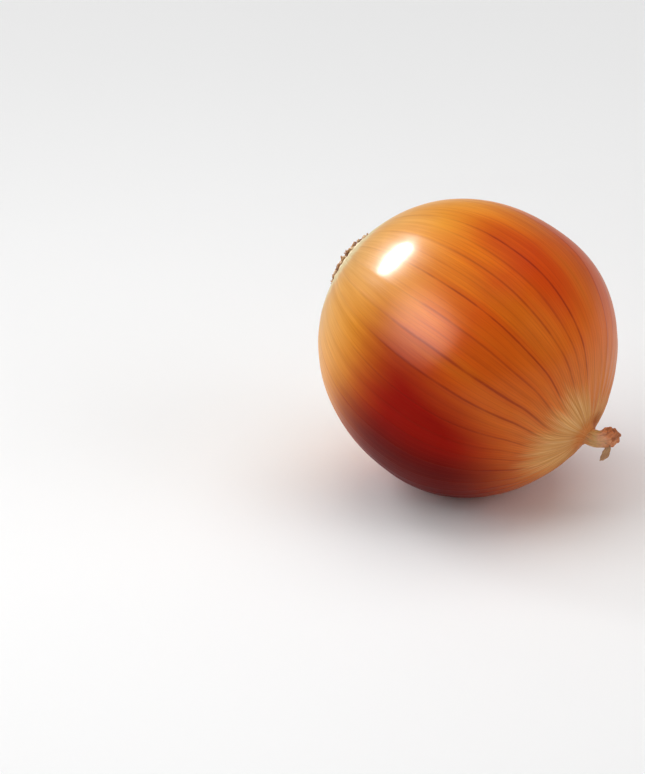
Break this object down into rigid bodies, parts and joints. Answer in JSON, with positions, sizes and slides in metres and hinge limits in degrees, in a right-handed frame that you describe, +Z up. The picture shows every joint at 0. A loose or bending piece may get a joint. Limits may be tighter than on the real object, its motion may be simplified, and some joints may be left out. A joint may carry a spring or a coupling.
{
  "type": "onion",
  "caption": "Whole brown onion lying on its side, a round bulb in glossy papery skin with a dried root tuft at one end and a bent dried neck at the other.",
  "frame": {"origin": "the point of the flat resting spot that lies straight below the bulb's centre of mass", "axes": "+Z up; +X level, the way the neck points in plan, so the roots are at -X; the bulb's own axis leans 23 degrees down towards the neck"},
  "size_m": [0.0882, 0.0796, 0.0804],
  "materials": {
    "brown_skin": "gloss",
    "dry_root": "matte",
    "dry_leaf": "matte"
  },
  "bodies": {
    "root": {"bulb": "brown_skin", "root_tuft": "dry_root", "dry_neck": "dry_leaf", "leaf_shred": "dry_leaf"}
  },
  "joints": []
}
